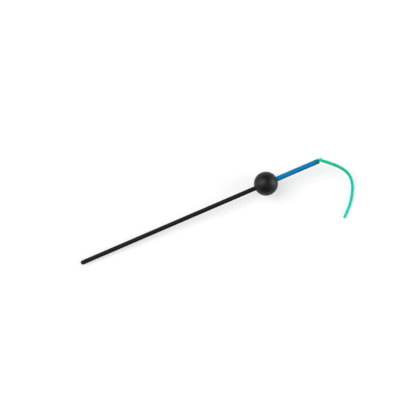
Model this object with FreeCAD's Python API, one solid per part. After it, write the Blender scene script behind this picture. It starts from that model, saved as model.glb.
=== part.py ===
import FreeCAD, Part
import math
import os

# Cable needle: a domed shaft with a stopper ball that slides on it, a soft sleeve pushed on the
# shaft's spigot, and a soft cord that runs through the sleeve, is knotted at its mouth and trails.
#
# Millimetres. The needle lies on the plane Z = 0 along X, its tip towards -X, resting on its
# tip, its ball and the cord's tail. The origin is on that plane, under the middle of the
# needle's length without the cord. "Along" is the distance from the tip's end on the shaft's axis.

# Shaft. Its seat is this much thicker all round, and its spigot this much thicker than the cord,
# so that the ball grips the seat and the sleeve's bore, which is the cord's size, grips the spigot.
SHAFT_DIAMETER = 3.0
SEAT_STEP = 0.1
SEAT_TAPER = 1.0
SPIGOT_STEP = 0.08
SPIGOT_LENGTH = 7.0
SPIGOT_CHAMFER = 0.3

# Ball
BALL_DIAMETER = 16.0
BALL_FROM_TIP = 133.8
BORE_ROUNDING = 0.25
RECESS_DEPTH = 2.4
COUNTERSINK_DIAMETER = 5.0
COUNTERSINK_DEPTH = 1.0

# Sleeve. Its end stands this much proud of the seat all round, which stops the ball at home, and
# it reaches this far past the ball's centre.
SLEEVE_LIP = 0.1
SLEEVE_REACH = 38.1
SLEEVE_ROUNDING = 0.15

# Cord
CORD_DIAMETER = 2.0
KNOT_DIAMETER = 3.0

# Clearances
BALL_ON_SEAT = 0.03
SLEEVE_ON_SPIGOT = 0.02
SLEEVE_IN_RECESS = 0.15
SLEEVE_TO_RECESS_FLOOR = 0.2
CORD_TO_SPIGOT = 0.3
KNOT_TO_SLEEVE = 0.1

# The tail's points: how far each one is from the knot's centre along X and Y, and its height as
# a share of the knot's height above a cord that lies on the plane.
TAIL_ROUTE = [
    (0.0, 0.0, 1.0),
    (5.1, -4.4, 0.93),
    (9.7, -8.8, 0.72),
    (13.0, -13.4, 0.44),
    (14.4, -18.8, 0.19),
    (13.1, -24.5, 0.04),
    (9.9, -30.6, 0.0),
    (5.1, -36.7, 0.0),
    (-0.1, -41.2, 0.0),
]
RUN_SHARE = 0.45

shaft_radius = SHAFT_DIAMETER / 2
cord_radius = CORD_DIAMETER / 2
knot_radius = KNOT_DIAMETER / 2
ball_radius = BALL_DIAMETER / 2
countersink_radius = COUNTERSINK_DIAMETER / 2
seat_radius = shaft_radius + SEAT_STEP
spigot_radius = cord_radius + SPIGOT_STEP
sleeve_radius = seat_radius + SLEEVE_LIP
bore_radius = seat_radius + BALL_ON_SEAT
recess_radius = sleeve_radius + SLEEVE_IN_RECESS

# Places along the axis
ball_rear = BALL_FROM_TIP - math.sqrt(ball_radius**2 - bore_radius**2)
ball_front = BALL_FROM_TIP + math.sqrt(ball_radius**2 - countersink_radius**2)
recess_floor = ball_front - RECESS_DEPTH
shoulder = recess_floor + SLEEVE_TO_RECESS_FLOOR
spigot_end = shoulder + SPIGOT_LENGTH
wide_bore_end = spigot_end + CORD_TO_SPIGOT
mouth = BALL_FROM_TIP + SLEEVE_REACH
knot_flat = math.sqrt(knot_radius**2 - cord_radius**2)
knot_centre = mouth + math.sqrt((knot_radius + KNOT_TO_SLEEVE) ** 2 - cord_radius**2)

# The needle tilts because the ball is thicker than the tip's dome, and both rest on the plane.
rise = (ball_radius - shaft_radius) / (BALL_FROM_TIP - shaft_radius)
level = math.sqrt(1 - rise**2)
AXIS = FreeCAD.Vector(level, 0, rise)
OUTWARD = FreeCAD.Vector(-rise, 0, level)

# The dome's centre, placed so that the box from the tip to the sleeve's rim is centred on X = 0
rim_inset = sleeve_radius - SLEEVE_ROUNDING
rim_reach = (mouth - shaft_radius - SLEEVE_ROUNDING) * level + rim_inset * rise + SLEEVE_ROUNDING
DOME_CENTRE = FreeCAD.Vector((shaft_radius - rim_reach) / 2, 0, shaft_radius)


def on_axis(along, out=0.0):
    """The point this far along the axis from the tip's end, and this far out from the axis."""
    return DOME_CENTRE + AXIS * (along - shaft_radius) + OUTWARD * out


def outline(corners):
    """Straight edges through corners of (along, out)."""
    points = [on_axis(along, out) for along, out in corners]
    return [Part.LineSegment(a, b).toShape() for a, b in zip(points, points[1:])]


def turned(edges):
    """The solid that a closed outline sweeps once round the axis."""
    face = Part.Face(Part.Wire(edges))
    return face.revolve(on_axis(0), AXIS, 360)


def cylinder(radius, start, end):
    return Part.makeCylinder(radius, end - start, on_axis(start), AXIS)


def needle_shaft():
    """Domed tip, plain shaft, the seat that grips the ball, and the spigot that holds the sleeve."""
    diagonal = shaft_radius * math.sqrt(0.5)
    dome = Part.Arc(
        on_axis(0),
        on_axis(shaft_radius - diagonal, diagonal),
        on_axis(shaft_radius, shaft_radius),
    ).toShape()
    rest = outline(
        [
            (shaft_radius, shaft_radius),
            (ball_rear, shaft_radius),
            (ball_rear + SEAT_TAPER, seat_radius),
            (shoulder, seat_radius),
            (shoulder, spigot_radius),
            (spigot_end - SPIGOT_CHAMFER, spigot_radius),
            (spigot_end, spigot_radius - SPIGOT_CHAMFER),
            (spigot_end, 0),
            (0, 0),
        ]
    )
    return turned([dome] + rest)


def stopper_ball():
    """Round ball with a bore for the seat, and a countersunk recess that takes the sleeve's end."""
    surface = Part.Arc(
        on_axis(ball_rear, bore_radius),
        on_axis(BALL_FROM_TIP, ball_radius),
        on_axis(ball_front, countersink_radius),
    ).toShape()
    inside = outline(
        [
            (ball_front, countersink_radius),
            (ball_front - COUNTERSINK_DEPTH, recess_radius),
            (recess_floor, recess_radius),
            (recess_floor, bore_radius),
            (ball_rear, bore_radius),
        ]
    )
    return rounded(turned([surface] + inside), BORE_ROUNDING, bore_radius, ball_rear)


def rounded(solid, rounding, radius, along):
    """The solid with its circular rim of this radius at this place rounded off."""
    circles = [edge for edge in solid.Edges if edge.Curve.TypeId == "Part::GeomCircle"]
    rims = [
        edge
        for edge in circles
        if abs(edge.Curve.Radius - radius) < 0.001
        and edge.Curve.Center.distanceToPoint(on_axis(along)) < 0.001
    ]
    return solid.makeFillet(rounding, rims)


def soft_sleeve():
    """Tube with a wide bore over the spigot and a close one over the cord, its mouth rounded."""
    wide = spigot_radius + SLEEVE_ON_SPIGOT
    tube = turned(
        outline(
            [
                (shoulder, wide),
                (wide_bore_end, wide),
                (wide_bore_end, cord_radius),
                (mouth, cord_radius),
                (mouth, sleeve_radius),
                (shoulder, sleeve_radius),
                (shoulder, wide),
            ]
        )
    )
    return rounded(tube, SLEEVE_ROUNDING, sleeve_radius, mouth)


def cord_core():
    """The cord's straight stretch in the sleeve, from just past the spigot to the knot."""
    return cylinder(cord_radius, wide_bore_end, knot_centre - knot_flat)


def tail_points():
    """The tail's route, its first point moved from the knot's centre to the knot's surface."""
    centre = on_axis(knot_centre)
    lying = cord_radius
    points = [
        FreeCAD.Vector(centre.x + x, y, lying + (centre.z - lying) * share)
        for x, y, share in TAIL_ROUTE
    ]
    points[0] = centre + (points[1] - centre).normalize() * knot_flat
    return points


def cord_knot():
    """The knot's outer shape: a ball with a flat for each of the two cord ends that meet it."""
    centre = on_axis(knot_centre)
    knot = Part.makeSphere(knot_radius, centre, AXIS)
    points = tail_points()
    for away in (AXIS * -1, (points[1] - points[0]).normalize()):
        knot = knot.cut(Part.makeCylinder(KNOT_DIAMETER, KNOT_DIAMETER, centre + away * knot_flat, away))
    return knot


def bent_path(points):
    """Straight runs joined by tangent arcs, as one wire, with the arcs' radii."""
    edges = []
    radii = []
    start = points[0]
    for before, corner, after in zip(points, points[1:], points[2:]):
        arriving = (corner - before).normalize()
        leaving = (after - corner).normalize()
        turn = arriving.getAngle(leaving)
        shorter = min((corner - before).Length, (after - corner).Length)
        cut = RUN_SHARE * shorter
        radius = cut / math.tan(turn / 2)
        inward = (leaving - arriving).normalize()
        middle = corner + inward * (radius / math.cos(turn / 2) - radius)
        arc_start = corner - arriving * cut
        arc_end = corner + leaving * cut
        edges.append(Part.LineSegment(start, arc_start).toShape())
        edges.append(Part.Arc(arc_start, middle, arc_end).toShape())
        radii.append(radius)
        start = arc_end
    edges.append(Part.LineSegment(start, points[-1]).toShape())
    return Part.Wire(edges), radii


def cord_tail():
    """The free end of the cord: one tube along its route, cut square at its end."""
    points = tail_points()
    path, radii = bent_path(points)
    section = Part.Wire(Part.makeCircle(cord_radius, points[0], points[1] - points[0]))
    tube = path.makePipeShell([section], True, False)
    print("tail radii:", " ".join(f"{radius:.1f}" for radius in radii))
    expected = math.pi * cord_radius**2 * path.Length
    print(f"tail length {path.Length:.2f}, volume {tube.Volume:.2f}, section by length {expected:.2f}")
    return tube


def main():
    os.makedirs("parts", exist_ok=True)
    for make in (needle_shaft, stopper_ball, soft_sleeve, cord_core, cord_knot, cord_tail):
        shape = make()
        shape.exportStep(f"parts/{make.__name__}.step")
        box = shape.BoundBox
        print(f"{make.__name__}: valid {shape.isValid()}, {len(shape.Solids)} solid, {shape.Volume:.2f} mm3")
        print(f"  X {box.XMin:.3f} {box.XMax:.3f}  Y {box.YMin:.3f} {box.YMax:.3f}  Z {box.ZMin:.3f} {box.ZMax:.3f}")
    print(f"dome centre {tuple(DOME_CENTRE)}, axis {tuple(AXIS)}, ball bore starts {ball_rear:.3f} along")


main()
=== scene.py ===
import math

import bpy
from mathutils import Matrix, Vector


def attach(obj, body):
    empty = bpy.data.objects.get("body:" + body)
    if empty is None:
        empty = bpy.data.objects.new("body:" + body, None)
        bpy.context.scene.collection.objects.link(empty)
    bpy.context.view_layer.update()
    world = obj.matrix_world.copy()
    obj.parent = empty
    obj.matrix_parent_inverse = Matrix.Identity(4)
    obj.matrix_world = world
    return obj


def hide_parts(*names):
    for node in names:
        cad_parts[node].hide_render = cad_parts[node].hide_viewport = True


bl_info = {
    "name": "Cable Needle",
    "version": (1, 0, 0),
    "blender": (4, 5, 0),
    "location": "3D View > Sidebar > Needle",
    "description": "A cable needle with a stopper ball, a soft sleeve and a cord that trails",
    "category": "Add Mesh",
}

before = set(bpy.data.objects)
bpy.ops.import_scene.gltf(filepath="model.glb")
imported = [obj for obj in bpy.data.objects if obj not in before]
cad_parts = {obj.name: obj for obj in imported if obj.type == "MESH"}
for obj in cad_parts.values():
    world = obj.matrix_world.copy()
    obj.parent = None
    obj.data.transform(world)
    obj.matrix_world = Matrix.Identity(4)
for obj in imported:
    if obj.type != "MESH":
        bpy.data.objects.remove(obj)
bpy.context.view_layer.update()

MM = 0.001

# The tail's points: how far each one is from the knot's centre along X and Y, in metres, and its
# height as a share of the knot's height above a cord that lies on the table.
TAIL_ROUTE = [
    (0.0, 0.0, 1.0),
    (0.0051, -0.0044, 0.93),
    (0.0097, -0.0088, 0.72),
    (0.0130, -0.0134, 0.44),
    (0.0144, -0.0188, 0.19),
    (0.0131, -0.0245, 0.04),
    (0.0099, -0.0306, 0.0),
    (0.0051, -0.0367, 0.0),
    (-0.0001, -0.0412, 0.0),
]

# The overhand knot's line, as millimetres along the needle, sideways and outwards from the
# knot's centre, with the share of the cord's thickness that is left where it is pulled tight.
KNOT_ROUTE = [
    (-2.20, 0.00, 0.00, 0.88),
    (-1.40, 0.00, 0.00, 0.86),
    (-0.66, 0.00, -0.44, 0.72),
    (-0.10, 0.34, 0.30, 0.66),
    (0.38, 0.92, 0.24, 0.66),
    (0.66, 0.46, -0.14, 0.66),
    (0.42, -0.18, -0.52, 0.66),
    (-0.06, -0.60, 0.00, 0.66),
    (-0.48, -0.06, 0.58, 0.66),
    (-0.52, 0.86, 0.14, 0.66),
    (-0.20, 1.08, -0.30, 0.66),
    (0.10, 0.40, -0.40, 0.68),
]

# The share of the cord's thickness at the knot's last two points, where it runs into the tail,
# and how far before and past the tail's start they are
KNOT_LEAVING_SHARES = [0.80, 0.92]
KNOT_BEFORE_TAIL = 0.8 * MM
KNOT_INTO_TAIL = 0.1 * MM

# The tail's share of the cord's thickness at its first and last points. It is full in between.
TAIL_START_SHARES = [0.88, 1.06, 1.04, 1.04]
TAIL_END_SHARES = [0.96, 0.90]

# How far inside the knot's surface the tail starts, and how far outside it its next point is
TAIL_IN_KNOT = 0.7 * MM
TAIL_NEXT_POINT = 0.5 * MM

# How far from the wide bore's end and from the sleeve's mouth the cord in the sleeve stays, and
# how many points it has
CORE_FROM_WIDE_BORE = 0.2 * MM
CORE_FROM_MOUTH = 0.8 * MM
CORE_POINTS = 7

# Roundings of the cord's ends, and of two rims that have no rounding in the sizes
TAIL_END_ROUNDING = 0.40 * MM
BURIED_END_ROUNDING = 0.3 * MM
CORE_START_ROUNDING = 0.2 * MM
CORE_END_ROUNDING = 0.5 * MM
SHOULDER_ROUNDING = 0.08 * MM
BALL_MOUTH_ROUNDING = 0.12 * MM

# The sleeve's faint ripple: half its depth, and its turn from one ring of the sleeve to the next
RIPPLE_HALF_DEPTH = 0.008 * MM
RIPPLE_TURN = 1.9

# The knot's loops are pressed together as voxels of this size, then softened
KNOT_VOXEL = 0.05 * MM
KNOT_SOFTENING = 0.5
KNOT_SOFTENINGS = 4

# How many steps go round a turned piece, round the ball, along its outline and along the dome's,
# and how many rings the plain shaft and the sleeve have
TURNED_STEPS = 64
BALL_STEPS = 112
BALL_OUTLINE_STEPS = 56
DOME_STEPS = 14
SHAFT_RINGS = 30
SLEEVE_RINGS = 24

# How many steps cross a rounded rim, and how many cross one that is small or hidden
RIM_STEPS = 4
SMALL_RIM_STEPS = 3

# Edges that turn by less than this, in degrees, are shaded smooth
CORD_SMOOTH_BELOW = 60
SLEEVE_SMOOTH_BELOW = 40
HARD_SMOOTH_BELOW = 35

# The camera's place over the table, and the width of its sensor in millimetres
CAMERA_PLACE = (0.00345, 0.00733)
SENSOR_WIDTH = 36

# Each lamp's name, the bearing that its light comes from, counted anticlockwise from the camera's
# right, its height above the table and its spread, all three in degrees, and its strength
LAMPS = [
    ("key_lamp", 150, 50, 44, 1.75),
    ("left_lamp", 176, 28, 44, 1.20),
    ("right_lamp", 8, 13, 50, 3.10),
]

# The table's size in metres, how much light it gives back to the needle, and how much it glows to
# the camera and in reflections, which together show it white
TABLE_SIZE = 4
TABLE_GREY = 0.46
TABLE_GLOW = 0.56


# ---------------------------------------------------------------- sizes and colours


def length_property(name, description, default):
    return bpy.props.FloatProperty(
        name=name, description=description, default=default, min=0.0,
        unit="LENGTH", subtype="DISTANCE", precision=5,
    )


def colour_property(name, description, default):
    return bpy.props.FloatVectorProperty(
        name=name, description=description, default=default, size=3, min=0.0, max=1.0,
        subtype="COLOR",
    )


class NeedleSizes(bpy.types.PropertyGroup):
    """Sizes of the needle's pieces"""

    shaft_diameter: length_property("Shaft diameter", "Thickness of the plain shaft", 0.003)
    seat_step: length_property("Seat step", "How much thicker all round the ball's seat is", 0.0001)
    seat_taper: length_property("Seat taper", "Length over which the shaft grows to the seat", 0.001)
    spigot_step: length_property("Spigot step", "How much thicker than the cord the spigot is", 0.00008)
    spigot_length: length_property("Spigot length", "Length of the spigot in the sleeve", 0.007)
    spigot_chamfer: length_property("Spigot chamfer", "Chamfer at the spigot's end", 0.0003)
    ball_diameter: length_property("Ball diameter", "Diameter of the stopper ball", 0.016)
    ball_from_tip: length_property("Ball from tip", "Distance from the tip's end to the ball", 0.1338)
    ball_gap: length_property("Ball gap", "Clearance all round between the ball and its seat", 0.00003)
    bore_rounding: length_property("Bore rounding", "Rounding of the bore's rim", 0.00025)
    recess_depth: length_property("Recess depth", "Depth of the recess for the sleeve", 0.0024)
    recess_gap: length_property("Recess gap", "Clearance all round the sleeve in the recess", 0.00015)
    countersink_diameter: length_property("Countersink", "Diameter of the countersunk mouth", 0.005)
    countersink_depth: length_property("Countersink depth", "Depth of the countersunk mouth", 0.001)
    sleeve_lip: length_property("Sleeve lip", "How far the sleeve stands proud of the seat", 0.0001)
    sleeve_reach: length_property("Sleeve reach", "How far past the ball's centre it reaches", 0.0381)
    sleeve_gap: length_property("Sleeve gap", "Gap between the sleeve and the recess floor", 0.0002)
    sleeve_rounding: length_property("Mouth rounding", "Rounding of the sleeve's mouth", 0.00015)
    sleeve_stretch: length_property("Sleeve stretch", "How far the spigot swells the bore", 0.00002)
    cord_diameter: length_property("Cord diameter", "Thickness of the cord", 0.002)
    cord_gap: length_property("Cord gap", "Gap between the spigot and the cord", 0.0003)
    knot_diameter: length_property("Knot diameter", "Thickness of the tied knot", 0.0030)
    knot_gap: length_property("Knot gap", "Gap between the knot and the sleeve's mouth", 0.0001)


class NeedleColours(bpy.types.PropertyGroup):
    """Colours of the needle's pieces"""

    shaft: colour_property("Shaft", "Satin black of the shaft", (0.0095, 0.0095, 0.0092))
    ball: colour_property("Ball", "Matt black of the stopper ball", (0.0030, 0.0030, 0.0028))
    sleeve: colour_property("Sleeve", "Blue of the soft sleeve", (0.001, 0.190, 0.440))
    # Teal at the sleeve's mouth: the cord showing through, made darker as painted shade
    sleeve_mouth_tint_and_shade: colour_property("Sleeve mouth", "Tint at the sleeve's mouth", (0.001, 0.175, 0.190))
    sleeve_rim: colour_property("Sleeve rim", "Paler blue of its rubbed rim", (0.03, 0.30, 0.42))
    cord_start: colour_property("Cord at the knot", "Cord's colour at the knot", (0.001, 0.600, 0.310))
    # A paler colour on the knot's upper side: partly stretched cord, partly a painted highlight
    cord_stretch_and_highlight: colour_property("Stretched cord", "Paler colour in the knot", (0.020, 0.640, 0.480))
    cord_end: colour_property("Cord's end", "Cord's colour at its free end", (0.004, 0.580, 0.470))


class NeedleStage(bpy.types.PropertyGroup):
    """Camera, lamps and table"""

    lens: bpy.props.FloatProperty(
        name="Lens", description="Focal length of the camera",
        default=200.0, min=1.0, unit="CAMERA",
    )
    height: length_property("Camera height", "Height of the camera over the table", 1.4772)
    turn: bpy.props.FloatProperty(
        name="Camera turn", description="Turn of the camera round the upright line",
        default=math.radians(-23.3), unit="ROTATION", subtype="ANGLE",
    )
    horizon: bpy.props.FloatProperty(
        name="Low room light", description="Strength of the even light from the sides",
        default=0.06, min=0.0,
    )
    overhead: bpy.props.FloatProperty(
        name="Overhead light", description="Strength of the even light from overhead",
        default=0.34, min=0.0,
    )


class Places:
    """Where things are on the needle's axis, all worked out from the sizes."""

    def __init__(self, sizes):
        self.shaft_radius = sizes.shaft_diameter / 2
        self.cord_radius = sizes.cord_diameter / 2
        self.knot_radius = sizes.knot_diameter / 2
        self.ball_radius = sizes.ball_diameter / 2
        self.ball_centre = sizes.ball_from_tip
        self.countersink_radius = sizes.countersink_diameter / 2
        self.seat_radius = self.shaft_radius + sizes.seat_step
        self.spigot_radius = self.cord_radius + sizes.spigot_step
        self.sleeve_radius = self.seat_radius + sizes.sleeve_lip
        self.bore_radius = self.seat_radius + sizes.ball_gap
        self.recess_radius = self.sleeve_radius + sizes.recess_gap
        self.ball_rear = self.ball_centre - math.sqrt(self.ball_radius**2 - self.bore_radius**2)
        self.ball_front = self.ball_centre + math.sqrt(self.ball_radius**2 - self.countersink_radius**2)
        self.recess_floor = self.ball_front - sizes.recess_depth
        self.shoulder = self.recess_floor + sizes.sleeve_gap
        self.spigot_end = self.shoulder + sizes.spigot_length
        self.wide_bore_end = self.spigot_end + sizes.cord_gap
        self.mouth = self.ball_centre + sizes.sleeve_reach
        self.knot_flat = math.sqrt(self.knot_radius**2 - self.cord_radius**2)
        knot_reach = self.knot_radius + sizes.knot_gap
        self.knot_centre = self.mouth + math.sqrt(knot_reach**2 - self.cord_radius**2)
        rise = (self.ball_radius - self.shaft_radius) / (self.ball_centre - self.shaft_radius)
        level = math.sqrt(1 - rise**2)
        self.axis = Vector((level, 0, rise))
        self.sideways = Vector((0, 1, 0))
        self.outward = Vector((-rise, 0, level))
        rounding = sizes.sleeve_rounding
        rim_reach = (
            (self.mouth - self.shaft_radius - rounding) * level
            + (self.sleeve_radius - rounding) * rise
            + rounding
        )
        dome_centre = Vector(((self.shaft_radius - rim_reach) / 2, 0, self.shaft_radius))
        self.tip = dome_centre - self.axis * self.shaft_radius

    def at(self, along, sideways=0.0, out=0.0):
        """The point this far along the axis from the tip's end, and this far off the axis."""
        return self.tip + self.axis * along + self.sideways * sideways + self.outward * out

    def matrix(self):
        """Takes a piece modelled along X to its place on the tilted axis."""
        turn = Matrix((self.axis, self.sideways, self.outward)).transposed()
        return Matrix.Translation(self.tip) @ turn.to_4x4()

    def tail_points(self):
        """The tail's route, its first point moved from the knot's centre to the knot's surface."""
        centre = self.at(self.knot_centre)
        lying = self.cord_radius
        points = [
            Vector((centre.x + x, y, lying + (centre.z - lying) * share)) for x, y, share in TAIL_ROUTE
        ]
        points[0] = centre + (points[1] - centre).normalized() * self.knot_flat
        return points


# ---------------------------------------------------------------- modelling


def deselect():
    """Leaves no object selected, and Blender in object mode."""
    if bpy.context.mode != "OBJECT":
        bpy.ops.object.mode_set(mode="OBJECT")
    bpy.ops.object.select_all(action="DESELECT")


def make_active(piece):
    deselect()
    piece.select_set(True)
    bpy.context.view_layer.objects.active = piece


def start_profile(name, along, out):
    """A new piece in edit mode with one point, from which a profile is drawn."""
    deselect()
    bpy.ops.mesh.primitive_plane_add(size=MM, location=(along, 0, out))
    piece = bpy.context.object
    piece.name = piece.data.name = name
    bpy.ops.object.transform_apply()
    bpy.ops.object.mode_set(mode="EDIT")
    bpy.ops.mesh.select_mode(type="VERT")
    bpy.ops.mesh.select_all(action="SELECT")
    bpy.ops.mesh.merge(type="CENTER")
    return piece


def draw_lines(here, corners):
    """Extrudes the chosen point from here through each corner, and returns the last one."""
    for along, out in corners:
        step = (along - here[0], 0, out - here[1])
        bpy.ops.mesh.extrude_region_move(TRANSFORM_OT_translate={"value": step})
        here = (along, out)
    return here


def draw_arc(here, centre, angle, segments):
    """Spins the chosen point round a centre on the axis, and returns where it ends."""
    bpy.ops.mesh.spin(steps=segments, angle=angle, center=(centre, 0, 0), axis=(0, -1, 0))
    x, z = here[0] - centre, here[1]
    return (
        centre + x * math.cos(angle) + z * math.sin(angle),
        z * math.cos(angle) - x * math.sin(angle),
    )


def turn_profile(steps):
    """Spins the whole profile once round the axis, closes its seam and its poles."""
    bpy.ops.mesh.select_all(action="SELECT")
    bpy.ops.mesh.spin(steps=steps, angle=math.tau, center=(0, 0, 0), axis=(1, 0, 0))
    bpy.ops.mesh.select_all(action="SELECT")
    bpy.ops.mesh.remove_doubles(threshold=0.001 * MM)
    bpy.ops.mesh.normals_make_consistent(inside=False)


def bevel_rim(piece, along, out, width, segments):
    """Rounds the ring of edges at one place along the axis and one distance from it."""
    bpy.ops.mesh.select_mode(type="EDGE")
    bpy.ops.mesh.select_all(action="DESELECT")
    bpy.ops.object.mode_set(mode="OBJECT")
    near = 0.004 * MM
    on_rim = [
        abs(v.co.x - along) < near and abs(math.hypot(v.co.y, v.co.z) - out) < near
        for v in piece.data.vertices
    ]
    for edge in piece.data.edges:
        edge.select = all(on_rim[v] for v in edge.vertices)
    if not any(edge.select for edge in piece.data.edges):
        raise RuntimeError(f"{piece.name} has no rim {along / MM:.3f} mm along, {out / MM:.3f} mm out")
    bpy.ops.object.mode_set(mode="EDIT")
    bpy.ops.mesh.bevel(offset=width, offset_type="OFFSET", segments=segments, affect="EDGES")


def put_in_place(piece, places, smooth_below):
    """Moves a piece modelled along X to the tilted axis, with its place in its mesh."""
    bpy.ops.object.mode_set(mode="OBJECT")
    make_active(piece)
    bpy.ops.object.shade_smooth_by_angle(angle=math.radians(smooth_below))
    piece.matrix_world = places.matrix()
    bpy.ops.object.transform_apply()


def route_curve(name, points, shares=None):
    """A smooth cord route: one NURBS spline with these points as its control points."""
    curve = bpy.data.curves.new(name, "CURVE")
    curve.dimensions = "3D"
    curve.resolution_u = 10
    spline = curve.splines.new("NURBS")
    spline.points.add(len(points) - 1)
    for target, point, share in zip(spline.points, points, shares or [1.0] * len(points)):
        target.co = (*point, 1)
        target.radius = share
    spline.order_u = 3
    spline.use_endpoint_u = True
    route = bpy.data.objects.new(name, curve)
    bpy.context.scene.collection.objects.link(route)
    return route


def centreline(route):
    """The points of a route that has no thickness yet."""
    bpy.context.view_layer.update()
    depsgraph = bpy.context.evaluated_depsgraph_get()
    line = bpy.data.meshes.new_from_object(route.evaluated_get(depsgraph))
    points = [v.co.copy() for v in line.vertices]
    bpy.data.meshes.remove(line)
    return points


def route_to_tube(route, radius, ring=10):
    """Gives a route its thickness and makes it a mesh, open at both ends."""
    route.data.bevel_depth = radius
    route.data.bevel_resolution = ring
    make_active(route)
    bpy.ops.object.convert(target="MESH")
    tube = bpy.context.object
    tube.data.name = tube.name
    return tube


def close_end(tube, end, outward, rounding, segments=4):
    """Closes an open end: extrudes its rim out and in round a quarter turn, then fills it."""
    make_active(tube)
    bpy.ops.object.mode_set(mode="EDIT")
    bpy.ops.mesh.select_mode(type="VERT")
    bpy.ops.mesh.select_all(action="DESELECT")
    bpy.ops.object.mode_set(mode="OBJECT")
    level, reach = 0.02 * MM, 2 * MM
    rim = [
        v for v in tube.data.vertices
        if abs((v.co - end).dot(outward)) < level and (v.co - end).length < reach
    ]
    if not rim:
        raise RuntimeError(f"{tube.name} has no open end there")
    for vertex in rim:
        vertex.select = True
    centre = sum((v.co for v in rim), Vector()) / len(rim)
    radius = sum((v.co - centre).length for v in rim) / len(rim)
    bpy.ops.object.mode_set(mode="EDIT")
    depth, wide = 0.0, radius
    for step in range(1, segments + 1):
        angle = math.pi / 2 * step / segments
        next_depth = rounding * math.sin(angle)
        next_wide = radius - rounding * (1 - math.cos(angle))
        bpy.ops.mesh.extrude_region_move(
            TRANSFORM_OT_translate={"value": outward * (next_depth - depth)}
        )
        bpy.ops.transform.resize(
            value=(next_wide / wide,) * 3, center_override=centre + outward * next_depth
        )
        depth, wide = next_depth, next_wide
    bpy.ops.mesh.edge_face_add()
    bpy.ops.mesh.inset(thickness=wide * 0.5)
    bpy.ops.mesh.select_all(action="SELECT")
    bpy.ops.mesh.normals_make_consistent(inside=False)
    bpy.ops.object.mode_set(mode="OBJECT")


# ---------------------------------------------------------------- materials


def put(tree, kind, inputs=None, **settings):
    """A new node, its settings made and its inputs set: a socket is linked, the rest are values."""
    node = tree.nodes.new(kind)
    node.location = (200 * (len(tree.nodes) % 12), -260 * (len(tree.nodes) // 12))
    for name, value in settings.items():
        setattr(node, name, value)
    for name, value in (inputs or {}).items():
        socket = node.inputs[name]
        if isinstance(value, bpy.types.NodeSocket):
            tree.links.new(value, socket)
        else:
            socket.default_value = value
    return node


def math_node(tree, operation, first, second=0.0, clamp=False):
    inputs = {0: first, 1: second}
    return put(tree, "ShaderNodeMath", inputs, operation=operation, use_clamp=clamp).outputs[0]


def vector_math(tree, operation, inputs, output="Vector"):
    return put(tree, "ShaderNodeVectorMath", inputs, operation=operation).outputs[output]


def remap(tree, value, low, high, to_low, to_high, smooth=True):
    """The value carried from one range to another, held at the ends."""
    kind = "SMOOTHSTEP" if smooth else "LINEAR"
    inputs = {"Value": value, "From Min": low, "From Max": high, "To Min": to_low, "To Max": to_high}
    node = put(tree, "ShaderNodeMapRange", inputs, interpolation_type=kind, clamp=True)
    return node.outputs["Result"]


def with_alpha(colour):
    """A colour as a node's input takes it: a socket as it is, or three values and a full alpha."""
    return colour if isinstance(colour, bpy.types.NodeSocket) else (*colour, 1)


def mix_colours(tree, share, first, second):
    """A colour on the way from the first to the second. A Mix node's colours are sockets 6 and 7."""
    inputs = {0: share, 6: with_alpha(first), 7: with_alpha(second)}
    return put(tree, "ShaderNodeMix", inputs, data_type="RGBA").outputs[2]


def new_group(name, inputs, outputs):
    """A shader node group with these sockets: the group, what it is given, and its output node."""
    group = bpy.data.node_groups.new(name, "ShaderNodeTree")
    for socket, kind, default in inputs:
        made = group.interface.new_socket(socket, in_out="INPUT", socket_type=kind)
        if default is not None:
            made.default_value = default
    for socket, kind in outputs:
        group.interface.new_socket(socket, in_out="OUTPUT", socket_type=kind)
    entry = group.nodes.new("NodeGroupInput")
    leave = group.nodes.new("NodeGroupOutput")
    leave.location = (1800, 0)
    return group, entry.outputs, leave


def place_group(tree, group, inputs):
    return put(tree, "ShaderNodeGroup", inputs, node_tree=group).outputs


def needle_places_group(places):
    """How far a point is along the needle, and how far out from its axis."""
    group, given, leave = new_group(
        "needle_places", [("Vector", "NodeSocketVector", None)],
        [("Along", "NodeSocketFloat"), ("Out", "NodeSocketFloat")],
    )
    from_tip = vector_math(group, "SUBTRACT", {0: given["Vector"], 1: places.tip})
    along = vector_math(group, "DOT_PRODUCT", {0: from_tip, 1: places.axis}, "Value")
    on_axis = vector_math(group, "SCALE", {0: places.axis, "Scale": along})
    off_axis = vector_math(group, "SUBTRACT", {0: from_tip, 1: on_axis})
    out = vector_math(group, "LENGTH", {0: off_axis}, "Value")
    group.links.new(along, leave.inputs["Along"])
    group.links.new(out, leave.inputs["Out"])
    return group


def noise(tree, vector, per_metre, detail, roughness):
    inputs = {"Vector": vector, "Scale": per_metre, "Detail": detail, "Roughness": roughness}
    return put(tree, "ShaderNodeTexNoise", inputs).outputs[0]


def spread(tree, value):
    """A noise's middle values spread from nothing to full."""
    return remap(tree, value, 0.35, 0.65, 0.0, 1.0)


def fine_grain_group():
    """A moulded skin: fine grain to stand it up with, and soft patches to vary it with."""
    group, given, leave = new_group(
        "fine_grain",
        [
            ("Vector", "NodeSocketVector", None),
            ("Grain Per Metre", "NodeSocketFloat", 5000.0),
            ("Patches Per Metre", "NodeSocketFloat", 300.0),
        ],
        [("Height", "NodeSocketFloat"), ("Patches", "NodeSocketFloat")],
    )
    fine = noise(group, given["Vector"], given["Grain Per Metre"], 3.0, 0.6)
    cells = put(
        group, "ShaderNodeTexVoronoi",
        {"Vector": given["Vector"], "Scale": given["Grain Per Metre"], "Randomness": 1.0},
        feature="SMOOTH_F1",
    ).outputs["Distance"]
    patches = noise(group, given["Vector"], given["Patches Per Metre"], 4.0, 0.55)
    fine_share = math_node(group, "MULTIPLY", fine, 0.7)
    height = math_node(group, "ADD", fine_share, math_node(group, "MULTIPLY", cells, 0.3))
    group.links.new(height, leave.inputs["Height"])
    group.links.new(spread(group, patches), leave.inputs["Patches"])
    return group


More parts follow.
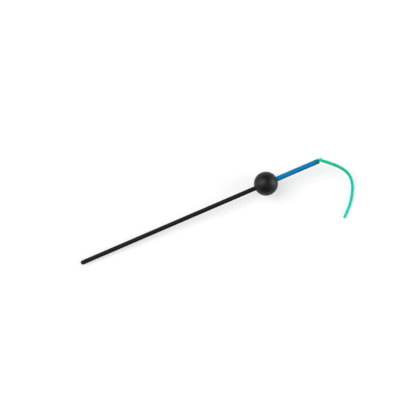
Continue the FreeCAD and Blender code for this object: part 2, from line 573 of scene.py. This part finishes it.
def drawn_lines_group(places):
    """Fine lines that run along the needle, as drawing through a die leaves them.

    They are noise that is squeezed along the axis before it is read, which draws it out.
    """
    squeeze = 0.985
    group, given, leave = new_group(
        "drawn_lines",
        [("Vector", "NodeSocketVector", None), ("Lines Per Metre", "NodeSocketFloat", 4000.0)],
        [("Height", "NodeSocketFloat"), ("Lines", "NodeSocketFloat")],
    )
    along = vector_math(group, "DOT_PRODUCT", {0: given["Vector"], 1: places.axis}, "Value")
    back = math_node(group, "MULTIPLY", along, -squeeze)
    shift = vector_math(group, "SCALE", {0: places.axis, "Scale": back})
    squeezed = vector_math(group, "ADD", {0: given["Vector"], 1: shift})
    lines = noise(group, squeezed, given["Lines Per Metre"], 2.0, 0.5)
    group.links.new(lines, leave.inputs["Height"])
    group.links.new(spread(group, lines), leave.inputs["Lines"])
    return group


def rubbed_group():
    """Where hands and yarn rub: full between two places, fading past them, broken up by patches."""
    group, given, leave = new_group(
        "rubbed",
        [
            ("Place", "NodeSocketFloat", 0.0),
            ("From", "NodeSocketFloat", 0.0),
            ("To", "NodeSocketFloat", 0.0),
            ("Fade", "NodeSocketFloat", 0.001),
            ("Patches", "NodeSocketFloat", 0.5),
        ],
        [("Mask", "NodeSocketFloat")],
    )
    before = math_node(group, "SUBTRACT", given["From"], given["Place"])
    after = math_node(group, "SUBTRACT", given["Place"], given["To"])
    outside = math_node(group, "MAXIMUM", math_node(group, "MAXIMUM", before, after), 0.0)
    share = math_node(group, "DIVIDE", outside, given["Fade"])
    near = math_node(group, "SUBTRACT", 1.0, share, clamp=True)
    broken = remap(group, given["Patches"], 0.0, 1.0, 0.45, 1.0)
    group.links.new(math_node(group, "MULTIPLY", near, broken), leave.inputs["Mask"])
    return group


def varied_colour_group():
    """A colour that drifts a little in depth from patch to patch, and lifts where it is rubbed."""
    group, given, leave = new_group(
        "varied_colour",
        [
            ("Color", "NodeSocketColor", (0.5, 0.5, 0.5, 1.0)),
            ("Patches", "NodeSocketFloat", 0.5),
            ("Depth", "NodeSocketFloat", 0.1),
            ("Rubbed", "NodeSocketFloat", 0.0),
            ("Rubbed Color", "NodeSocketColor", (0.5, 0.5, 0.5, 1.0)),
        ],
        [("Color", "NodeSocketColor")],
    )
    low = math_node(group, "SUBTRACT", 1.0, given["Depth"])
    high = math_node(group, "ADD", 1.0, given["Depth"])
    level = remap(group, given["Patches"], 0.0, 1.0, low, high, smooth=False)
    deep = vector_math(group, "SCALE", {0: given["Color"], "Scale": level})
    mixed = mix_colours(group, given["Rubbed"], deep, given["Rubbed Color"])
    group.links.new(mixed, leave.inputs["Color"])
    return group


def shared_groups(places):
    """Every shader node group, made once."""
    if "fine_grain" not in bpy.data.node_groups:
        needle_places_group(places)
        fine_grain_group()
        drawn_lines_group(places)
        rubbed_group()
        varied_colour_group()
    return bpy.data.node_groups


def new_material(name, values):
    """A material, its tree and its Principled shader, whose even values are on its own sockets."""
    material = bpy.data.materials.new(name)
    material.use_nodes = True
    tree = material.node_tree
    shader = tree.nodes["Principled BSDF"]
    for socket, value in values.items():
        shader.inputs[socket].default_value = value
    return material, tree, shader


def object_point(tree):
    return put(tree, "ShaderNodeTexCoord").outputs["Object"]


def grain_of(tree, groups, here, grain_per_metre, patches_per_metre):
    inputs = {
        "Vector": here, "Grain Per Metre": grain_per_metre, "Patches Per Metre": patches_per_metre,
    }
    return place_group(tree, groups["fine_grain"], inputs)


def rubbed_between(tree, groups, place, start, end, fade, patches):
    inputs = {"Place": place, "From": start, "To": end, "Fade": fade, "Patches": patches}
    return place_group(tree, groups["rubbed"], inputs)["Mask"]


def varied_colour(tree, groups, colour, patches, depth, rubbed=0.0, rubbed_colour=(0.5, 0.5, 0.5)):
    inputs = {
        "Color": with_alpha(colour), "Patches": patches, "Depth": depth,
        "Rubbed": rubbed, "Rubbed Color": with_alpha(rubbed_colour),
    }
    return place_group(tree, groups["varied_colour"], inputs)["Color"]


def vary_roughness(tree, shader, value, at_none, at_full):
    """Carries the roughness from one level to another as a value runs from nothing to full."""
    tree.links.new(remap(tree, value, 0.0, 1.0, at_none, at_full), shader.inputs["Roughness"])


def stand_up(tree, shader, height, depth, strength):
    """Bumps the surface by a height whose whole range is this deep."""
    bump = put(tree, "ShaderNodeBump", {"Height": height, "Distance": depth, "Strength": strength})
    tree.links.new(bump.outputs[0], shader.inputs["Normal"])


def wear(piece, material):
    """Gives a piece this material and no other."""
    piece.data.materials.clear()
    piece.data.materials.append(material)


def ball_material(places, colours):
    """Matt black moulded rubber, a little paler where the sleeve rubs its countersunk mouth."""
    groups = shared_groups(places)
    material, tree, shader = new_material(
        "matt_black_rubber", {"IOR": 1.37, "Specular IOR Level": 0.5}
    )
    here = object_point(tree)
    along = place_group(tree, groups["needle_places"], {"Vector": here})["Along"]
    grain = grain_of(tree, groups, here, grain_per_metre=4200.0, patches_per_metre=420.0)
    start, end = places.ball_front - 0.5 * MM, places.ball_front + 0.2 * MM
    fade, most_worn, paler, depth = 0.5 * MM, 0.35, 2.2, 0.22
    mouth = rubbed_between(tree, groups, along, start, end, fade, grain["Patches"])
    worn = math_node(tree, "MULTIPLY", mouth, most_worn)
    pale = tuple(paler * part for part in colours.ball)
    colour = varied_colour(tree, groups, colours.ball, grain["Patches"], depth, worn, pale)
    tree.links.new(colour, shader.inputs["Base Color"])
    vary_roughness(tree, shader, grain["Patches"], at_none=0.53, at_full=0.44)
    stand_up(tree, shader, grain["Height"], depth=0.035 * MM, strength=0.8)
    return material


def shaft_material(places, colours):
    """Satin black with fine drawn lines, rubbed smoother and paler at the tip."""
    groups = shared_groups(places)
    material, tree, shader = new_material(
        "satin_black_shaft", {"IOR": 1.22, "Specular IOR Level": 0.5}
    )
    here = object_point(tree)
    along = place_group(tree, groups["needle_places"], {"Vector": here})["Along"]
    grain = grain_of(tree, groups, here, grain_per_metre=7000.0, patches_per_metre=260.0)
    lines = place_group(tree, groups["drawn_lines"], {"Vector": here, "Lines Per Metre": 5200.0})
    start, end = -MM, 2 * MM
    fade, most_worn, paler, depth = 22 * MM, 0.5, 1.8, 0.2
    tip = rubbed_between(tree, groups, along, start, end, fade, grain["Patches"])
    worn = math_node(tree, "MULTIPLY", tip, most_worn)
    pale = tuple(paler * part for part in colours.shaft)
    colour = varied_colour(tree, groups, colours.shaft, lines["Lines"], depth, worn, pale)
    tree.links.new(colour, shader.inputs["Base Color"])
    roughest, smoothest, rubbed_off, grain_share = 0.62, 0.52, 0.06, 0.6
    satin = remap(tree, lines["Lines"], 0.0, 1.0, roughest, smoothest)
    rubbed = math_node(tree, "ADD", tip, grain["Patches"])
    polished = math_node(tree, "MULTIPLY", rubbed, rubbed_off)
    tree.links.new(math_node(tree, "SUBTRACT", satin, polished), shader.inputs["Roughness"])
    grain_height = math_node(tree, "MULTIPLY", grain["Height"], grain_share)
    height = math_node(tree, "ADD", lines["Height"], grain_height)
    stand_up(tree, shader, height, depth=0.025 * MM, strength=0.8)
    return material


def sleeve_material(places, colours):
    """Soft blue silicone, tinted at its mouth by the cord that shows through and darkened there as
    painted shade, with faint drawn lines.
    """
    groups = shared_groups(places)
    material, tree, shader = new_material(
        "soft_blue_sleeve",
        {
            "Specular IOR Level": 0.10,
            "Subsurface Weight": 0.15,
            "Subsurface Radius": (0.2, 0.6, 1.0),
            "Subsurface Scale": 0.6 * MM,
        },
    )
    here = object_point(tree)
    along = place_group(tree, groups["needle_places"], {"Vector": here})["Along"]
    grain = grain_of(tree, groups, here, grain_per_metre=6000.0, patches_per_metre=330.0)
    lines = place_group(tree, groups["drawn_lines"], {"Vector": here, "Lines Per Metre": 3600.0})
    mouth = places.mouth
    # Towards the mouth the blue turns to a darker teal: the cord showing through, partly painted shade
    tint_from, tint_full = mouth - 5 * MM, mouth - 0.4 * MM
    near_mouth = remap(tree, along, tint_from, tint_full, 0.0, 1.0)
    mouth_tint_and_shade = mix_colours(tree, near_mouth, colours.sleeve, colours.sleeve_mouth_tint_and_shade)
    start, end = mouth - 0.15 * MM, mouth + MM
    fade, most_worn, depth, grain_share = 0.4 * MM, 0.3, 0.12, 0.4
    rim = rubbed_between(tree, groups, along, start, end, fade, grain["Patches"])
    worn = math_node(tree, "MULTIPLY", rim, most_worn)
    rubbed_to = colours.sleeve_rim
    colour = varied_colour(tree, groups, mouth_tint_and_shade, lines["Lines"], depth, worn, rubbed_to)
    tree.links.new(colour, shader.inputs["Base Color"])
    vary_roughness(tree, shader, grain["Patches"], at_none=0.50, at_full=0.42)
    grain_height = math_node(tree, "MULTIPLY", grain["Height"], grain_share)
    height = math_node(tree, "ADD", lines["Height"], grain_height)
    stand_up(tree, shader, height, depth=0.012 * MM, strength=0.5)
    return material


def cord_material(places, colours):
    """Soft dyed cord whose colour runs from the knot to its free end, with a pale spot on the knot's
    upper side: partly the cord paler where it is stretched, partly a painted highlight.
    """
    if "dyed_cord" in bpy.data.materials:
        return bpy.data.materials["dyed_cord"]
    groups = shared_groups(places)
    material, tree, shader = new_material(
        "dyed_cord",
        {
            "Specular IOR Level": 0.12,
            "Subsurface Weight": 0.6,
            "Subsurface Radius": (0.15, 1.0, 0.8),
            "Subsurface Scale": 1.2 * MM,
        },
    )
    here = object_point(tree)
    grain = grain_of(tree, groups, here, grain_per_metre=5200.0, patches_per_metre=380.0)
    sideways = put(tree, "ShaderNodeSeparateXYZ", {0: here}).outputs["Y"]
    start_colour_to, end_colour_from = -4 * MM, -30 * MM
    run = remap(tree, sideways, start_colour_to, end_colour_from, 0.0, 1.0)
    dye = mix_colours(tree, run, colours.cord_start, colours.cord_end)
    # The pale spot sits on the knot's upper side, where light catches it: a painted highlight, partly
    # the paler stretched cord
    highlight_centre = places.at(places.knot_centre - 0.7 * MM, 0.4 * MM, 0.6 * MM)
    pale_out_to, palest_out_to, palest = 1.7 * MM, 0.7 * MM, 0.85
    away = vector_math(tree, "DISTANCE", {0: here, 1: highlight_centre}, "Value")
    stretch_and_highlight_share = remap(tree, away, pale_out_to, palest_out_to, 0.0, palest)
    dye = mix_colours(tree, stretch_and_highlight_share, dye, colours.cord_stretch_and_highlight)
    colour = varied_colour(tree, groups, dye, grain["Patches"], depth=0.08)
    tree.links.new(colour, shader.inputs["Base Color"])
    vary_roughness(tree, shader, grain["Patches"], at_none=0.38, at_full=0.28)
    stand_up(tree, shader, grain["Height"], depth=0.012 * MM, strength=0.5)
    return material


# ---------------------------------------------------------------- operators


class NeedleOperator:
    """What the operators share: one undo step, and the sizes, colours and places."""

    bl_options = {"REGISTER", "UNDO"}

    def read(self, context):
        self.sizes = context.scene.needle_sizes
        self.colours = context.scene.needle_colours
        self.places = Places(self.sizes)


class NEEDLE_OT_stage(NeedleOperator, bpy.types.Operator):
    """Set the white table, the soft lamps and the camera that looks straight down"""

    bl_idname = "needle.stage"
    bl_label = "Set the Stage"

    def execute(self, context):
        self.read(context)
        stage = context.scene.needle_stage
        context.scene.view_settings.view_transform = "Standard"
        self.camera(context, stage)
        self.table()
        self.room(context, stage)
        for name, bearing, height, spread_angle, strength in LAMPS:
            self.lamp(context, name, math.radians(bearing) + stage.turn, height, spread_angle, strength)
        return {"FINISHED"}

    def camera(self, context, stage):
        camera = bpy.data.cameras.new("overhead_camera")
        camera.lens = stage.lens
        camera.sensor_width = SENSOR_WIDTH
        camera.clip_start, camera.clip_end = 0.01, 10
        holder = bpy.data.objects.new("overhead_camera", camera)
        holder.location = (*CAMERA_PLACE, stage.height)
        holder.rotation_euler = (0, 0, stage.turn)
        context.scene.collection.objects.link(holder)
        context.scene.camera = holder

    def lamp(self, context, name, across, height, spread_angle, strength):
        """A wide, far softbox, whose light comes from the direction across and from a height."""
        light = bpy.data.lights.new(name, "SUN")
        light.energy = strength
        light.angle = math.radians(spread_angle)
        holder = bpy.data.objects.new(name, light)
        up = math.radians(height)
        comes_from = Vector(
            (math.cos(across) * math.cos(up), math.sin(across) * math.cos(up), math.sin(up))
        )
        holder.rotation_euler = comes_from.to_track_quat("Z", "Y").to_euler()
        holder.location = comes_from
        context.scene.collection.objects.link(holder)

    def room(self, context, stage):
        """Dim light from all round, brighter overhead, and plain white to the camera itself."""
        world = bpy.data.worlds.new("studio")
        world.use_nodes = True
        tree = world.node_tree
        towards = put(tree, "ShaderNodeTexCoord").outputs["Generated"]
        upward = put(tree, "ShaderNodeSeparateXYZ", {0: towards}).outputs["Z"]
        overhead = math_node(tree, "POWER", math_node(tree, "MAXIMUM", upward, 0.0), 2.0)
        light = remap(tree, overhead, 0.0, 1.0, stage.horizon, stage.overhead, smooth=False)
        seen = put(tree, "ShaderNodeLightPath").outputs["Is Camera Ray"]
        strength = remap(tree, seen, 0.0, 1.0, light, 1.0, smooth=False)
        tree.links.new(strength, tree.nodes["Background"].inputs["Strength"])
        tree.nodes["Background"].inputs["Color"].default_value = (1, 1, 1, 1)
        context.scene.world = world

    def table(self):
        deselect()
        bpy.ops.mesh.primitive_plane_add(size=TABLE_SIZE, location=(0, 0, 0))
        table = bpy.context.object
        table.name = table.data.name = "table"
        material, tree, shader = new_material(
            "white_table",
            {
                "Base Color": (TABLE_GREY, TABLE_GREY, TABLE_GREY, 1),
                "Roughness": 0.9,
                "Specular IOR Level": 0.0,
                "Emission Color": (1, 1, 1, 1),
            },
        )
        path = put(tree, "ShaderNodeLightPath").outputs
        seen = math_node(tree, "MAXIMUM", path["Is Camera Ray"], path["Is Glossy Ray"])
        seen = math_node(tree, "MAXIMUM", seen, path["Is Transmission Ray"])
        glow = math_node(tree, "MULTIPLY", seen, TABLE_GLOW)
        tree.links.new(glow, shader.inputs["Emission Strength"])
        wear(table, material)


class NEEDLE_OT_tail(NeedleOperator, bpy.types.Operator):
    """Lay the cord's free end in its loose curve down to the table"""

    bl_idname = "needle.tail"
    bl_label = "Lay the Cord's Tail"

    def execute(self, context):
        self.read(context)
        points = self.places.tail_points()
        leaving = (points[1] - points[0]).normalized()
        points[:1] = [points[0] - leaving * TAIL_IN_KNOT, points[0] + leaving * TAIL_NEXT_POINT]
        full = len(points) - len(TAIL_START_SHARES) - len(TAIL_END_SHARES)
        shares = TAIL_START_SHARES + [1.0] * full + TAIL_END_SHARES
        route = route_curve("cord_free_end", points, shares)
        line = centreline(route)
        tail = route_to_tube(route, self.places.cord_radius)
        close_end(tail, line[0], (line[0] - line[1]).normalized(), BURIED_END_ROUNDING)
        close_end(tail, line[-1], (line[-1] - line[-2]).normalized(), TAIL_END_ROUNDING)
        bpy.ops.object.shade_smooth_by_angle(angle=math.radians(CORD_SMOOTH_BELOW))
        wear(tail, cord_material(self.places, self.colours))
        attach(tail, "sleeve_and_cord")
        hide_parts("cord_tail")
        context.scene["needle_tail_line"] = [c for point in line for c in point]
        return {"FINISHED"}


class NEEDLE_OT_knot(NeedleOperator, bpy.types.Operator):
    """Tie the overhand knot that keeps the cord from slipping back into the sleeve"""

    bl_idname = "needle.knot"
    bl_label = "Tie the Knot"

    def execute(self, context):
        self.read(context)
        places = self.places
        points = [
            places.at(places.knot_centre + u * MM, v * MM, w * MM) for u, v, w, share in KNOT_ROUTE
        ]
        shares = [share for u, v, w, share in KNOT_ROUTE]
        start, towards = places.tail_points()[:2]
        leaving = (towards - start).normalized()
        points += [start - leaving * KNOT_BEFORE_TAIL, start + leaving * KNOT_INTO_TAIL]
        shares += KNOT_LEAVING_SHARES
        route = route_curve("cord_overhand_knot", points, shares)
        line = centreline(route)
        knot = route_to_tube(route, places.cord_radius)
        close_end(knot, line[0], (line[0] - line[1]).normalized(), BURIED_END_ROUNDING)
        close_end(knot, line[-1], (line[-1] - line[-2]).normalized(), BURIED_END_ROUNDING)
        press = knot.modifiers.new("press_together", "REMESH")
        press.mode = "VOXEL"
        press.voxel_size = KNOT_VOXEL
        soften = knot.modifiers.new("soften", "SMOOTH")
        soften.factor = KNOT_SOFTENING
        soften.iterations = KNOT_SOFTENINGS
        for modifier in ("press_together", "soften"):
            bpy.ops.object.modifier_apply(modifier=modifier)
        bpy.ops.object.shade_smooth()
        wear(knot, cord_material(places, self.colours))
        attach(knot, "sleeve_and_cord")
        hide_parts("cord_knot")
        return {"FINISHED"}


class NEEDLE_OT_core(NeedleOperator, bpy.types.Operator):
    """Thread the cord through the sleeve, from the spigot's end to the knot"""

    bl_idname = "needle.core"
    bl_label = "Thread the Cord"

    def execute(self, context):
        self.read(context)
        places = self.places
        start, end = places.wide_bore_end + CORE_FROM_WIDE_BORE, places.mouth - CORE_FROM_MOUTH
        runs = CORE_POINTS - 1
        points = [places.at(start + (end - start) * run / runs) for run in range(CORE_POINTS)]
        core = route_to_tube(route_curve("cord_in_sleeve", points), places.cord_radius)
        close_end(core, points[0], -places.axis, CORE_START_ROUNDING)
        close_end(core, points[-1], places.axis, CORE_END_ROUNDING)
        bpy.ops.object.shade_smooth_by_angle(angle=math.radians(CORD_SMOOTH_BELOW))
        wear(core, cord_material(places, self.colours))
        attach(core, "sleeve_and_cord")
        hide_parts("cord_core")
        return {"FINISHED"}


class NEEDLE_OT_declare_cord(NeedleOperator, bpy.types.Operator):
    """Work out the free cord's first point, which nothing keeps"""

    bl_idname = "needle.declare_cord"
    bl_label = "Declare the Free Cord"

    def execute(self, context):
        self.read(context)
        tuple(self.places.tail_points()[0])
        return {"FINISHED"}


class NEEDLE_OT_sleeve(NeedleOperator, bpy.types.Operator):
    """Make the soft sleeve, its wide bore over the spigot and its rounded mouth"""

    bl_idname = "needle.sleeve"
    bl_label = "Push On the Sleeve"

    def execute(self, context):
        self.read(context)
        places = self.places
        wide = places.spigot_radius + self.sizes.sleeve_stretch
        start = (places.shoulder, wide)
        sleeve = start_profile("blue_sleeve", *start)
        here = draw_lines(
            start,
            [
                (places.wide_bore_end, wide),
                (places.wide_bore_end, places.cord_radius),
                (places.mouth, places.cord_radius),
                (places.mouth, places.sleeve_radius),
            ],
        )
        length = places.mouth - places.shoulder
        ripple = [
            (
                places.mouth - length * ring / SLEEVE_RINGS,
                places.sleeve_radius - RIPPLE_HALF_DEPTH * (1 - math.cos(RIPPLE_TURN * ring)),
            )
            for ring in range(1, SLEEVE_RINGS)
        ]
        draw_lines(here, ripple + [(places.shoulder, places.sleeve_radius), start])
        turn_profile(TURNED_STEPS)
        rounding = self.sizes.sleeve_rounding
        bevel_rim(sleeve, places.mouth, places.sleeve_radius, rounding, RIM_STEPS)
        bevel_rim(sleeve, places.shoulder, places.sleeve_radius, rounding, SMALL_RIM_STEPS)
        put_in_place(sleeve, places, SLEEVE_SMOOTH_BELOW)
        wear(sleeve, sleeve_material(places, self.colours))
        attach(sleeve, "sleeve_and_cord")
        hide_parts("soft_sleeve")
        return {"FINISHED"}


class NEEDLE_OT_shaft(NeedleOperator, bpy.types.Operator):
    """Turn the shaft: domed tip, plain length, seat for the ball and spigot for the sleeve"""

    bl_idname = "needle.shaft"
    bl_label = "Turn the Shaft"

    def execute(self, context):
        self.read(context)
        places, sizes = self.places, self.sizes
        shaft = start_profile("black_shaft", 0, 0)
        here = draw_arc((0, 0), places.shaft_radius, math.pi / 2, DOME_STEPS)
        plain = places.ball_rear - places.shaft_radius
        rings = [
            (places.shaft_radius + plain * ring / SHAFT_RINGS, places.shaft_radius)
            for ring in range(1, SHAFT_RINGS + 1)
        ]
        draw_lines(
            here,
            rings
            + [
                (places.ball_rear + sizes.seat_taper, places.seat_radius),
                (places.shoulder, places.seat_radius),
                (places.shoulder, places.spigot_radius),
                (places.spigot_end - sizes.spigot_chamfer, places.spigot_radius),
                (places.spigot_end, places.spigot_radius - sizes.spigot_chamfer),
                (places.spigot_end, 0),
            ],
        )
        turn_profile(TURNED_STEPS)
        bevel_rim(shaft, places.shoulder, places.seat_radius, SHOULDER_ROUNDING, SMALL_RIM_STEPS)
        put_in_place(shaft, places, HARD_SMOOTH_BELOW)
        wear(shaft, shaft_material(places, self.colours))
        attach(shaft, "shaft")
        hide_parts("needle_shaft")
        return {"FINISHED"}


class NEEDLE_OT_ball(NeedleOperator, bpy.types.Operator):
    """Turn the stopper ball with its bore, recess and countersunk mouth"""

    bl_idname = "needle.ball"
    bl_label = "Turn the Stopper Ball"

    def execute(self, context):
        self.read(context)
        places, sizes = self.places, self.sizes
        start = (places.recess_floor, places.bore_radius)
        ball = start_profile("black_stopper_ball", *start)
        here = draw_lines(start, [(places.ball_rear, places.bore_radius)])
        rear = math.asin(places.bore_radius / places.ball_radius)
        front = math.asin(places.countersink_radius / places.ball_radius)
        here = draw_arc(here, places.ball_centre, math.pi - rear - front, BALL_OUTLINE_STEPS)
        draw_lines(
            here,
            [
                (places.ball_front - sizes.countersink_depth, places.recess_radius),
                (places.recess_floor, places.recess_radius),
                start,
            ],
        )
        turn_profile(BALL_STEPS)
        bevel_rim(ball, places.ball_rear, places.bore_radius, sizes.bore_rounding, RIM_STEPS)
        mouth = places.ball_front, places.countersink_radius
        bevel_rim(ball, *mouth, BALL_MOUTH_ROUNDING, SMALL_RIM_STEPS)
        put_in_place(ball, places, HARD_SMOOTH_BELOW)
        wear(ball, ball_material(places, self.colours))
        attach(ball, "stopper")
        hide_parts("stopper_ball")
        return {"FINISHED"}


# ---------------------------------------------------------------- panel and registration

OPERATORS = (
    NEEDLE_OT_stage,
    NEEDLE_OT_tail,
    NEEDLE_OT_knot,
    NEEDLE_OT_core,
    NEEDLE_OT_declare_cord,
    NEEDLE_OT_sleeve,
    NEEDLE_OT_shaft,
    NEEDLE_OT_ball,
)


class NEEDLE_PT_panel(bpy.types.Panel):
    """Lists the needle's pieces, sizes and colours"""

    bl_idname = "NEEDLE_PT_panel"
    bl_label = "Cable Needle"
    bl_space_type = "VIEW_3D"
    bl_region_type = "UI"
    bl_category = "Needle"

    def draw(self, context):
        layout = self.layout
        for operator in OPERATORS:
            layout.operator(operator.bl_idname)
        scene = context.scene
        for group in (scene.needle_sizes, scene.needle_colours, scene.needle_stage):
            box = layout.box()
            for name in group.__annotations__:
                box.prop(group, name)


CLASSES = (NeedleSizes, NeedleColours, NeedleStage, *OPERATORS, NEEDLE_PT_panel)


def register():
    for made in CLASSES:
        bpy.utils.register_class(made)
    bpy.types.Scene.needle_sizes = bpy.props.PointerProperty(type=NeedleSizes)
    bpy.types.Scene.needle_colours = bpy.props.PointerProperty(type=NeedleColours)
    bpy.types.Scene.needle_stage = bpy.props.PointerProperty(type=NeedleStage)


def unregister():
    del bpy.types.Scene.needle_stage
    del bpy.types.Scene.needle_colours
    del bpy.types.Scene.needle_sizes
    for made in reversed(CLASSES):
        bpy.utils.unregister_class(made)


def main():
    register()
    bpy.ops.needle.stage()
    bpy.ops.needle.tail()
    bpy.ops.needle.knot()
    bpy.ops.needle.core()
    bpy.ops.needle.declare_cord()
    bpy.ops.needle.sleeve()
    bpy.ops.needle.shaft()
    bpy.ops.needle.ball()


if __name__ == "__main__":
    main()
